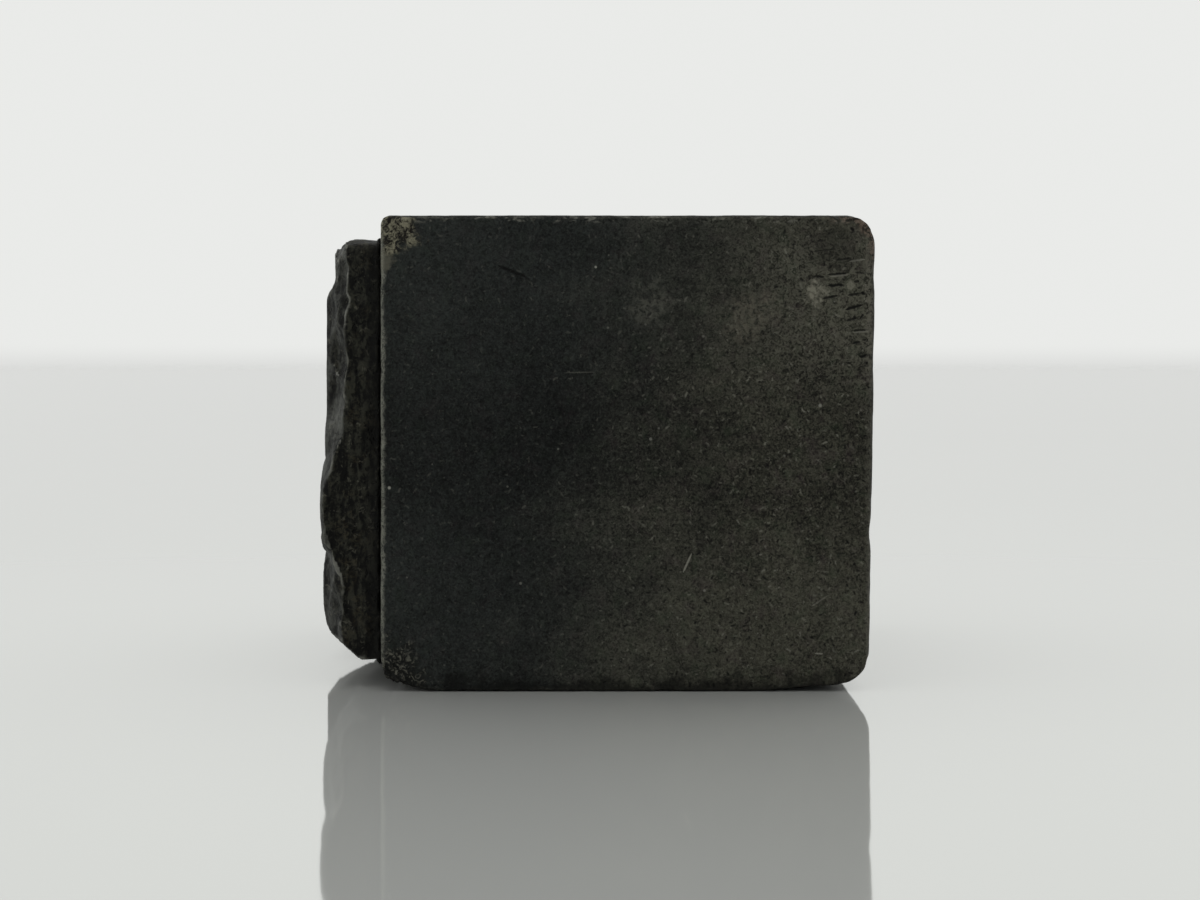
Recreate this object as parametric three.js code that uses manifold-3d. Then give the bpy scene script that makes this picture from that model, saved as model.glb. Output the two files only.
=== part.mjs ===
// Metal hand stamp: a squared steel block that carries a relief-cut flower die on one end.
// The die is brazed to the block and two dowels keep it square. Nothing on it moves.
//
// Each piece is modelled as if the stamp stood on its struck end: Z runs along the stamping axis,
// with zero at the block's die-end face, X is to the right and Y is up as one looks at the die.
// The last section lays the stamp on its side: die towards -X, struck end towards +X, +Z up,
// and the origin on the surface that it lies on, below the middle of its overall box.
// Sizes are in millimetres.

import * as THREE from "three";
import { mergeVertices, toCreasedNormals } from "three/addons/utils/BufferGeometryUtils.js";
import Module from "manifold-3d";

// Block
const BLOCK_LENGTH = 20.8;
const BLOCK_DEPTH = 20;
const BLOCK_HEIGHT = 20;
const LONG_EDGE_RADIUS = 0.4;
const DIE_END_SIDE_RADIUS = 0.3;
const DIE_END_UPPER_RADIUS = 0.5;
const DIE_END_LOWER_RADIUS = 1.1;
const STRUCK_END_SIDE_RADIUS = 0.5;
const STRUCK_END_UPPER_RADIUS = 1.3;
const STRUCK_END_LOWER_RADIUS = 2;

// Die: a ground plate with the rosette standing on it inside a bevelled border that is a little lower
const SHOULDER = 0.8;
const DIE_CORNER_RADIUS = 0.8;
const GROUND_THICKNESS = 1.48;
const RELIEF_RISE = 1.1;
const RIM_BEVEL = { side: 1.2, upper: 0.65, lower: 1.1 };
const BORDER_DROP = 0.15;
const BORDER_LAND = 0.5;
const BORDER_BEVEL = 0.5;
const UPPER_END_CUT = { run: 3, flat: 2, drop: 0.45 };
const LOWER_END_CUT = { run: 2.4, flat: 0.2, drop: 0.65 };

// Rosette: round petals about a boss, with a leaf that widens towards the rim between each two
const PETAL_COUNT = 5;
const LOWEST_PETAL_ANGLE = -Math.PI / 2;
const PETAL_ROOT_CENTRE = 3.6;
const PETAL_OVERRUN = 2;
const PETAL_GAP = 1;
const PETAL_BEVEL = { root: 1.2, end: 1.9 };
const LEAF_ROOT_RADIUS = 6.6;
const LEAF_HALF_ANGLE = THREE.MathUtils.degToRad(30);
const LEAF_BEVEL = 0.7;
const BOSS_BASE_RADIUS = 1.9;
const BOSS_TOP_RADIUS = 1.25;
const CENTRE_MARK = { radius: 0.45, depth: 0.4 };

// Stem: a bar over the lowest petal, from the boss to the die's lower end, that stands above the rosette
const STEM_WIDTH = 4;
const STEM_RISE = 0.65;
const STEM_BEVEL = 0.5;
const STEM_END_BEVEL = { run: 0.7, drop: 1.2 };

// Joint between die and block
const BRAZE_THICKNESS = 0.12;
const BRAZE_INSET = 0.45;
const DOWEL_DIAMETER = 2;
const DOWEL_IN_BLOCK = 5;
const DOWEL_COVER = 1;
const DOWEL_CHAMFER = 0.25;
const DOWEL_CLEARANCE = 0.05;
const DOWEL_END_GAP = 0.3;
const DRILL_POINT_DEPTH = 0.6;

// Facets of rounded corners and of rounds, the angle from which an edge is sharp, and how far a cut
// runs past what it cuts
const CORNER_SEGMENTS = 3;
const ROUND_SEGMENTS = 24;
const CREASE_ANGLE = THREE.MathUtils.degToRad(32);
const CUT_OVERRUN = 1;

const quarterTurn = Math.PI / 2;
const dieWidth = BLOCK_DEPTH - 2 * SHOULDER;
const dieHeight = BLOCK_HEIGHT - 2 * SHOULDER;
const dieReach = Math.min(dieWidth, dieHeight) / 2;
const faceHeight = GROUND_THICKNESS + RELIEF_RISE;
const borderRise = RELIEF_RISE - BORDER_DROP;
const stemHeight = faceHeight + STEM_RISE;
const overallLength = BLOCK_LENGTH + BRAZE_THICKNESS + stemHeight;
const dieEndX = overallLength / 2 - BLOCK_LENGTH;

// Petal: a small round root and a large round end, both half a gap from the lines between petals
const petalStep = (2 * Math.PI) / PETAL_COUNT;
const petalTip = dieReach + PETAL_OVERRUN;
const petalEndCentre = (petalTip + PETAL_GAP / 2) / (1 + Math.sin(petalStep / 2));
const petalEndRadius = petalTip - petalEndCentre;
const petalRootRadius = PETAL_ROOT_CENTRE * Math.sin(petalStep / 2) - PETAL_GAP / 2;
const petalAngles = Array.from({ length: PETAL_COUNT }, (_, i) => LOWEST_PETAL_ANGLE + i * petalStep);

// The dowels stand under the round ends of the petals on either side of the lowest one
const dowelSeats = {
  dowel_pin_front: petalAngles[1],
  dowel_pin_back: petalAngles[PETAL_COUNT - 1],
};
const dowelSocketDepth = faceHeight - DOWEL_COVER;
const dowelLength = DOWEL_IN_BLOCK + BRAZE_THICKNESS + dowelSocketDepth - DOWEL_END_GAP;
const dowelHoleRadius = DOWEL_DIAMETER / 2 + DOWEL_CLEARANCE;

const wasm = await Module();
wasm.setup();

// A closed geometry as a solid that can be joined and cut.
function solidOf(geometry) {
  geometry.deleteAttribute("normal");
  geometry.deleteAttribute("uv");
  const merged = mergeVertices(geometry);
  return new wasm.Manifold(
    new wasm.Mesh({
      numProp: 3,
      vertProperties: merged.attributes.position.array,
      triVerts: new Uint32Array(merged.index.array),
    }),
  );
}

function geometryOf(solid) {
  const { vertProperties, triVerts } = solid.getMesh();
  const geometry = new THREE.BufferGeometry();
  geometry.setAttribute("position", new THREE.BufferAttribute(vertProperties, 3));
  geometry.setIndex(new THREE.BufferAttribute(triVerts, 1));
  return toCreasedNormals(geometry, CREASE_ANGLE);
}

// A rectangle about the origin with its own radius at each corner.
function roundedRectangle(width, height, { lowerLeft, lowerRight, upperRight, upperLeft }) {
  const right = width / 2;
  const top = height / 2;
  const shape = new THREE.Shape();
  shape.absarc(right - lowerRight, lowerRight - top, lowerRight, -quarterTurn, 0);
  shape.absarc(right - upperRight, top - upperRight, upperRight, 0, quarterTurn);
  shape.absarc(upperLeft - right, top - upperLeft, upperLeft, quarterTurn, 2 * quarterTurn);
  shape.absarc(lowerLeft - right, lowerLeft - top, lowerLeft, 2 * quarterTurn, 3 * quarterTurn);
  return shape;
}

function evenlyRounded(width, height, radius) {
  const radii = { lowerLeft: radius, lowerRight: radius, upperRight: radius, upperLeft: radius };
  return roundedRectangle(width, height, radii);
}

function extrusion(shape, depth, curveSegments) {
  return new THREE.ExtrudeGeometry(shape, { depth, curveSegments, bevelEnabled: false });
}

// A shape drawn in the YZ plane and extruded along X, centred on X.
function extrusionAlongX(shape, length) {
  const toYZ = new THREE.Matrix4().makeBasis(
    new THREE.Vector3(0, 1, 0),
    new THREE.Vector3(0, 0, 1),
    new THREE.Vector3(1, 0, 0),
  );
  return extrusion(shape, length, CORNER_SEGMENTS).applyMatrix4(toYZ).translate(-length / 2, 0, 0);
}

// A shape drawn in the XZ plane and extruded along Y, centred on Y.
function extrusionAlongY(shape, length) {
  return extrusion(shape, length, CORNER_SEGMENTS).rotateX(quarterTurn).translate(0, length / 2, 0);
}

// A turned solid about Z from its half profile, which starts and ends on the axis.
function turned(profile) {
  const points = profile.map(([radius, z]) => new THREE.Vector2(radius, z));
  return new THREE.LatheGeometry(points, ROUND_SEGMENTS).rotateX(quarterTurn);
}

function dowelSeat(angle) {
  return new THREE.Vector2(petalEndCentre, 0).rotateAround(new THREE.Vector2(), angle);
}

// Block: the common volume of its end, side and plan outlines, drilled for the dowels.
// The lower edges of both ends, which it lies on, are worn rounder than the upper ones.
function stampBlock() {
  const section = extrusion(
    evenlyRounded(BLOCK_DEPTH, BLOCK_HEIGHT, LONG_EDGE_RADIUS),
    BLOCK_LENGTH,
    CORNER_SEGMENTS,
  ).translate(0, 0, -BLOCK_LENGTH);
  const sideOutline = roundedRectangle(BLOCK_HEIGHT, BLOCK_LENGTH, {
    lowerLeft: STRUCK_END_LOWER_RADIUS,
    lowerRight: STRUCK_END_UPPER_RADIUS,
    upperRight: DIE_END_UPPER_RADIUS,
    upperLeft: DIE_END_LOWER_RADIUS,
  });
  const planOutline = roundedRectangle(BLOCK_DEPTH, BLOCK_LENGTH, {
    lowerLeft: STRUCK_END_SIDE_RADIUS,
    lowerRight: STRUCK_END_SIDE_RADIUS,
    upperRight: DIE_END_SIDE_RADIUS,
    upperLeft: DIE_END_SIDE_RADIUS,
  });
  const side = extrusionAlongX(sideOutline, BLOCK_DEPTH).translate(0, 0, -BLOCK_LENGTH / 2);
  const plan = extrusionAlongY(planOutline, BLOCK_HEIGHT).translate(0, 0, -BLOCK_LENGTH / 2);
  let block = solidOf(section).intersect(solidOf(side)).intersect(solidOf(plan));
  for (const angle of Object.values(dowelSeats)) {
    block = block.subtract(dowelBore(angle));
  }
  return geometryOf(block);
}

// A blind hole in the block with the cone that a drill leaves.
function dowelBore(angle) {
  const floor = -DOWEL_IN_BLOCK - DOWEL_END_GAP;
  const seat = dowelSeat(angle);
  const bore = turned([
    [0, floor - DRILL_POINT_DEPTH],
    [dowelHoleRadius, floor],
    [dowelHoleRadius, CUT_OVERRUN],
    [0, CUT_OVERRUN],
  ]);
  return solidOf(bore.translate(seat.x, seat.y, 0));
}

// Dowel: a plain pin with chamfered ends.
function dowelPin(angle) {
  const radius = DOWEL_DIAMETER / 2;
  const seat = dowelSeat(angle);
  const pin = turned([
    [0, 0],
    [radius - DOWEL_CHAMFER, 0],
    [radius, DOWEL_CHAMFER],
    [radius, dowelLength - DOWEL_CHAMFER],
    [radius - DOWEL_CHAMFER, dowelLength],
    [0, dowelLength],
  ]);
  return pin.translate(seat.x, seat.y, -DOWEL_IN_BLOCK);
}

// Braze: the film of brass that ran between die and block, drawn back from the die's edge.
// An arc gets two facets per curve segment, so its holes match the dowels' facets.
function brazeFilm() {
  const shape = evenlyRounded(
    dieWidth - 2 * BRAZE_INSET,
    dieHeight - 2 * BRAZE_INSET,
    DIE_CORNER_RADIUS - BRAZE_INSET,
  );
  for (const angle of Object.values(dowelSeats)) {
    const seat = dowelSeat(angle);
    const hole = new THREE.Path();
    hole.absarc(seat.x, seat.y, dowelHoleRadius, 0, 2 * Math.PI);
    shape.holes.push(hole);
  }
  return extrusion(shape, BRAZE_THICKNESS, ROUND_SEGMENTS / 2);
}

// A round that stands on the ground and tapers from there to the die's face.
function taperedRound(groundRadius, faceRadius) {
  return turned([
    [0, 0],
    [groundRadius, 0],
    [groundRadius, GROUND_THICKNESS],
    [faceRadius, faceHeight],
    [0, faceHeight],
  ]);
}

function petal() {
  const root = taperedRound(petalRootRadius, petalRootRadius - PETAL_BEVEL.root);
  const end = taperedRound(petalEndRadius, petalEndRadius - PETAL_BEVEL.end);
  return wasm.Manifold.hull([
    solidOf(root.translate(PETAL_ROOT_CENTRE, 0, 0)),
    solidOf(end.translate(petalEndCentre, 0, 0)),
  ]);
}

// A leaf: a wedge with a bevelled upper edge, from its root to beyond the farthest corner of the die.
function leaf() {
  const end = Math.hypot(dieWidth, dieHeight) / 2 + CUT_OVERRUN;
  const endHalfWidth = (end - LEAF_ROOT_RADIUS) * Math.tan(LEAF_HALF_ANGLE);
  const shape = new THREE.Shape([
    new THREE.Vector2(LEAF_ROOT_RADIUS, 0),
    new THREE.Vector2(end, -endHalfWidth),
    new THREE.Vector2(end, endHalfWidth),
  ]);
  return new THREE.ExtrudeGeometry(shape, {
    depth: GROUND_THICKNESS,
    bevelThickness: RELIEF_RISE,
    bevelSize: LEAF_BEVEL,
    bevelOffset: -LEAF_BEVEL,
    bevelSegments: 1,
  });
}

// A cut across the die's upper (+1) or lower (-1) end: a flat ledge below its face, and a slope up to it.
function endCut(end, { run, flat, drop }) {
  const edge = dieHeight / 2;
  const profile = new THREE.Shape([
    new THREE.Vector2(edge - run, faceHeight),
    new THREE.Vector2(edge - flat, faceHeight - drop),
    new THREE.Vector2(edge + CUT_OVERRUN, faceHeight - drop),
    new THREE.Vector2(edge + CUT_OVERRUN, faceHeight + CUT_OVERRUN),
    new THREE.Vector2(edge - run, faceHeight + CUT_OVERRUN),
  ]);
  const cut = extrusionAlongX(profile, dieWidth + 2 * CUT_OVERRUN);
  return end > 0 ? cut : cut.rotateZ(Math.PI);
}

// The stem: its sides and its upper end slope in from the ground, and its lower end is bevelled.
function stem() {
  const halfWidthAt = (z) => {
    const share = (z - GROUND_THICKNESS) / (stemHeight - GROUND_THICKNESS);
    return STEM_WIDTH / 2 + STEM_BEVEL * (1 - Math.max(share, 0));
  };
  const bevelZ = stemHeight - STEM_END_BEVEL.drop;
  const lowerEnd = -dieHeight / 2;
  const corners = [];
  for (const [y, z] of [
    [lowerEnd, GROUND_THICKNESS / 2],
    [-BOSS_BASE_RADIUS, GROUND_THICKNESS / 2],
    [lowerEnd, GROUND_THICKNESS],
    [-BOSS_BASE_RADIUS, GROUND_THICKNESS],
    [lowerEnd, bevelZ],
    [lowerEnd + STEM_END_BEVEL.run, stemHeight],
    [-BOSS_BASE_RADIUS - STEM_BEVEL, stemHeight],
  ]) {
    corners.push([-halfWidthAt(z), y, z], [halfWidthAt(z), y, z]);
  }
  return wasm.Manifold.hull(corners);
}

// The hollow inside the border: its sides slope out from the ground to the border's land, and on above it.
function borderHollow() {
  const corners = [];
  for (const rise of [0, borderRise + CUT_OVERRUN]) {
    const draw = BORDER_LAND + BORDER_BEVEL * (1 - rise / borderRise);
    const side = dieWidth / 2 - RIM_BEVEL.side - draw;
    const upper = dieHeight / 2 - RIM_BEVEL.upper - draw;
    const lower = dieHeight / 2 - RIM_BEVEL.lower - draw;
    for (const x of [-side, side]) {
      for (const y of [-lower, upper]) {
        corners.push([x, y, GROUND_THICKNESS + rise]);
      }
    }
  }
  return wasm.Manifold.hull(corners);
}

// The rim: the plate, drawn in by its own bevel at the sides and at each end up to the border's land.
function bevelledRim(plate) {
  const width = dieWidth - 2 * RIM_BEVEL.side;
  const height = dieHeight - RIM_BEVEL.upper - RIM_BEVEL.lower;
  const land = evenlyRounded(width, height, DIE_CORNER_RADIUS);
  const top = extrusion(land, GROUND_THICKNESS + borderRise, CORNER_SEGMENTS);
  return wasm.Manifold.hull([plate, solidOf(top.translate(0, (RIM_BEVEL.lower - RIM_BEVEL.upper) / 2, 0))]);
}

// Die: plate, border, boss, leaves, petals and stem. The leaves run into the border, and the petals
// that reach over it are cut off square at the rim.
function rosetteDie() {
  const outline = evenlyRounded(dieWidth, dieHeight, DIE_CORNER_RADIUS);
  const plate = solidOf(extrusion(outline, GROUND_THICKNESS, CORNER_SEGMENTS));
  const squareRim = solidOf(extrusion(outline, faceHeight, CORNER_SEGMENTS));
  const rim = bevelledRim(plate);
  const boss = solidOf(taperedRound(BOSS_BASE_RADIUS, BOSS_TOP_RADIUS));
  let die = plate.add(rim.subtract(borderHollow())).add(boss);
  for (const angle of petalAngles) {
    const turn = THREE.MathUtils.radToDeg(angle);
    die = die.add(solidOf(leaf().rotateZ(angle + petalStep / 2)).intersect(rim));
    die = die.add(petal().rotate([0, 0, turn]).intersect(squareRim));
  }
  die = die.subtract(solidOf(endCut(1, UPPER_END_CUT)));
  die = die.subtract(solidOf(endCut(-1, LOWER_END_CUT)));
  const centreMark = turned([
    [0, faceHeight - CENTRE_MARK.depth],
    [CENTRE_MARK.radius, faceHeight],
    [CENTRE_MARK.radius, faceHeight + CUT_OVERRUN],
    [0, faceHeight + CUT_OVERRUN],
  ]);
  die = die.subtract(solidOf(centreMark)).add(stem());
  for (const angle of Object.values(dowelSeats)) {
    die = die.subtract(dowelSocket(angle));
  }
  return geometryOf(die);
}

// A flat-bottomed hole in the die's back.
function dowelSocket(angle) {
  const seat = dowelSeat(angle);
  const socket = turned([
    [0, -CUT_OVERRUN],
    [dowelHoleRadius, -CUT_OVERRUN],
    [dowelHoleRadius, dowelSocketDepth],
    [0, dowelSocketDepth],
  ]);
  return solidOf(socket.translate(seat.x, seat.y, 0));
}

// Finishes
const blackenedSteel = new THREE.MeshStandardMaterial({ color: 0x33332e, roughness: 0.65, metalness: 0.6 });
const dieSteel = new THREE.MeshStandardMaterial({ color: 0x2b2c2a, roughness: 0.5, metalness: 0.7 });
const brass = new THREE.MeshStandardMaterial({ color: 0x7d6a3c, roughness: 0.6, metalness: 0.8 });
const groundSteel = new THREE.MeshStandardMaterial({ color: 0x8b8d8e, roughness: 0.35, metalness: 1 });

function piece(name, geometry, material, z = 0) {
  const mesh = new THREE.Mesh(geometry, material);
  mesh.name = name;
  mesh.position.z = z;
  return mesh;
}

// Assembly, laid on its side
const upright = new THREE.Group();
upright.add(piece("stamp_block", stampBlock(), blackenedSteel));
upright.add(piece("braze_film", brazeFilm(), brass));
upright.add(piece("rosette_die", rosetteDie(), dieSteel, BRAZE_THICKNESS));
for (const [name, angle] of Object.entries(dowelSeats)) {
  upright.add(piece(name, dowelPin(angle), groundSteel));
}
upright.quaternion.setFromRotationMatrix(
  new THREE.Matrix4().makeBasis(
    new THREE.Vector3(0, -1, 0),
    new THREE.Vector3(0, 0, 1),
    new THREE.Vector3(-1, 0, 0),
  ),
);
upright.position.set(dieEndX, 0, BLOCK_HEIGHT / 2);

const stamp = new THREE.Group();
stamp.add(upright);

export default stamp;
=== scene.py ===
import functools
import math

import bmesh
import bpy
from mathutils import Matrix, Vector


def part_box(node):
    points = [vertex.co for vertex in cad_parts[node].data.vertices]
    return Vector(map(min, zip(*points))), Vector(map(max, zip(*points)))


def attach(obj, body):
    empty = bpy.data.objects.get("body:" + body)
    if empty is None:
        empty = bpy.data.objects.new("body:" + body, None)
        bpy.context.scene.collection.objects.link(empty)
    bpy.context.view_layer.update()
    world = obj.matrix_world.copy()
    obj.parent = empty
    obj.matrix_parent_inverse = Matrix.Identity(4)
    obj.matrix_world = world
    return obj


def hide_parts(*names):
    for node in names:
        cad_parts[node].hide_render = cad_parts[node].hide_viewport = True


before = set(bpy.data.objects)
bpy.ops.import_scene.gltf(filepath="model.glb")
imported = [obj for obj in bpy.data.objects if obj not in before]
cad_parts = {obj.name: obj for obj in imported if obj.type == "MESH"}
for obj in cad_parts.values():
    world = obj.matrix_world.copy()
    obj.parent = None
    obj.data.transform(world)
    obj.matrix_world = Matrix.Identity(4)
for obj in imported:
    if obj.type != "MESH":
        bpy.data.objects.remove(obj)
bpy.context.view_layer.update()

MM = 0.001

# Marks and patterns are placed from below the middle of the stamp without its stem, in millimetres
MARKS_ORIGIN = Vector((0.325, 0.0, 0.0))

# Shape of the worn block, in millimetres
BLOCK_GRID = {"Lines along length": 148, "Lines along depth": 98, "Lines along height": 138}
GRID_CROWDING = 0.6
LONG_EDGE_RADIUS = 0.2
DIE_END_SIDE_RADIUS = 0.2
DIE_END_UPPER_RADIUS = 0.45
DIE_END_LOWER_RADIUS = 0.9
STRUCK_END_SIDE_RADIUS = 0.35
STRUCK_END_UPPER_RADIUS = 1.3
STRUCK_END_LOWER_RADIUS = 1.6
STRUCK_END_LEAN = 0.22
DIE_END_FOOT_WEAR = 0.34
STRUCK_END_FOOT_WEAR = 0.28
EDGE_CHIP_DEPTH = 0.08
FACE_WAVE_DEPTH = 0.02
DENT_DEPTH = 0.07
HAMMER_DENT_DEPTH = 0.12
CRUST_DEPTH = 0.16
CRUSTED_CORNER_FROM_CENTRE = (-10.0, -10.0, -9.4)
BLOCK_SEED = 4.0

# Shape of the hewn die, in millimetres
DIE_VOXEL = 0.104
HEWN_WALL_DEPTH = 0.2
HEWN_SLOPE_DEPTH = 0.55
UPPER_END_WEAR = 0.1
LOWER_END_WEAR = 0.3
LAND_WEAR_DEPTH = 0.06
SEAM_FLASH = 0.1
BREAK_ROUGHNESS = 0.2
EDGE_WANDER = 0.6
ROSETTE_HEIGHT = 2.58
RIDGE_BLUR_STEPS = 6
RIDGE_ATTRIBUTE = "ridge"
SLOPE_ATTRIBUTE = "slope"
LAND_ATTRIBUTE = "land"
DIE_SEED = 11.0
UPPER_BREAK_PLACE = (-10.55, -9.2, 18.96)
UPPER_BREAK_FACING = (-0.43, 0.0, 0.9)
LOWER_BREAK_PLACE = (-10.84, -9.2, 2.05)
LOWER_BREAK_FACING = (-0.662, -0.2, -0.722)

# Swellings on the die's face as place, radius and rise, and facets given a painted highlight as
# place and radius
SWELLINGS = [
    ((-11.4, -8.4, 4.2), 2.0, 0.24),
    ((-11.4, -8.6, 6.3), 0.9, 0.2),
    ((-11.4, -8.3, 10.4), 1.3, 0.14),
]
PAINTED_LIT_FACETS = [
    ((-11.0, -8.9, 18.2), 1.2),
    ((-11.1, -8.7, 11.4), 1.1),
]

# Camera, level, with the horizon above the middle of the picture, and its place in millimetres
IMAGE_WIDTH = 1200
FOCAL_PIXELS = 1910
HORIZON_RISE_PIXELS = 108
SENSOR_WIDTH = 36
CAMERA_PLACE = (0.504, -90.0, 14.66)

# Studio, with lengths in millimetres
FLOOR_RADIUS = 1300.0
FLOOR_FADE_START = 850.0
FLOOR_POLISH = 0.36
FLOOR_ROUGHNESS = 0.05
FLOOR_DARKER = (0.76, 0.77, 0.75, 1.0)
FLOOR_PALER = (0.79, 0.8, 0.78, 1.0)
SKY_COLOUR = (1.0, 1.01, 0.99, 1.0)
BACKDROP_GLOW_AT_FLOOR = 0.7
BACKDROP_GLOW = 0.82
FRONT_GLOW = 0.2
BACK_GLOW_AT_FLOOR = 0.7
BACK_GLOW = 0.9
LEFT_GLOW = 0.75
OVERHEAD_GLOW = 0.95

# Single marks on the block's near face, in millimetres, at places given as x and height.
# A stroke has its first and last point, its width and its strength; the gouge is at full strength
GOUGE = ((-4.04, 17.84), (-2.95, 17.38), 0.11)
SCRATCHES = [
    ((9.2, 1.62), (9.5, 1.6), 0.05, 0.5),
    ((9.06, 3.6), (9.7, 4.02), 0.05, 0.2),
    ((3.68, 5.05), (4.0, 5.76), 0.06, 0.55),
    ((-1.25, 13.37), (-0.1, 13.4), 0.04, 0.12),
    ((10.65, 18.04), (11.24, 18.12), 0.06, 0.4),
    ((9.85, 17.4), (10.6, 17.48), 0.05, 0.3),
    ((10.8, 15.06), (11.43, 15.1), 0.05, 0.3),
]
JAW_BITES = [
    ((9.13, 18.46), (9.94, 18.54), 0.05, 0.6),
    ((10.1, 18.1), (10.65, 18.16), 0.06, 0.8),
    ((9.13, 17.41), (9.56, 17.38), 0.07, 0.9),
    ((9.77, 17.47), (10.53, 17.55), 0.06, 0.9),
    ((10.89, 17.57), (11.24, 17.53), 0.06, 0.7),
    ((9.77, 17.03), (10.38, 17.05), 0.09, 1.0),
    ((10.8, 17.17), (11.0, 17.22), 0.08, 0.8),
    ((9.55, 16.49), (10.1, 16.59), 0.07, 0.9),
    ((10.62, 16.61), (11.0, 16.69), 0.08, 0.9),
    ((11.15, 16.75), (11.31, 16.67), 0.1, 1.0),
    ((10.5, 16.03), (11.15, 16.21), 0.09, 1.0),
    ((9.84, 16.03), (10.05, 16.06), 0.06, 0.6),
    ((10.53, 15.57), (10.92, 15.67), 0.08, 0.9),
    ((11.1, 15.64), (11.19, 15.82), 0.07, 0.9),
    ((11.34, 15.81), (11.4, 15.9), 0.07, 0.8),
    ((10.8, 15.13), (11.43, 15.18), 0.05, 0.8),
    ((10.77, 14.59), (11.07, 14.66), 0.07, 0.9),
    ((11.07, 14.04), (11.49, 14.12), 0.08, 1.0),
    ((11.25, 13.67), (11.43, 13.64), 0.07, 0.8),
    ((11.15, 12.65), (11.36, 12.71), 0.06, 0.7),
    ((10.71, 19.44), (10.83, 19.33), 0.09, 0.9),
    ((9.34, 18.87), (9.45, 18.96), 0.07, 0.8),
]
PITTED_PLACE = (7.6, 5.6)
BROWN_SPOT_PLACE = (6.4, 15.9)
GREY_SPOT_PLACE = (2.3, 16.3)
PALE_SPOT_PLACE = (9.2, 16.8)
SMALL_SPOT_PLACE = (10.66, 17.0)
DARK_PATCH_PLACE = (10.1, 18.6)

# Bright grains on the same face, as place, radius and strength
PALE_SPECKS = [
    ((0.0, 17.8), 0.07, 1.0),
    ((-8.65, 8.55), 0.09, 0.9),
    ((-3.15, 4.55), 0.08, 0.4),
    ((9.4, 12.0), 0.1, 0.7),
    ((2.3, 10.6), 0.09, 0.5),
    ((4.55, 4.25), 0.08, 0.4),
    ((4.5, 14.9), 0.08, 0.3),
]


def shown_socket(sockets, key):
    """A node's socket by its number, or by its name among those that are in use."""
    if isinstance(key, int):
        shown = [each for each in sockets if each.enabled]
        return shown[key]
    return next(each for each in sockets if each.enabled and each.name == key)


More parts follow.
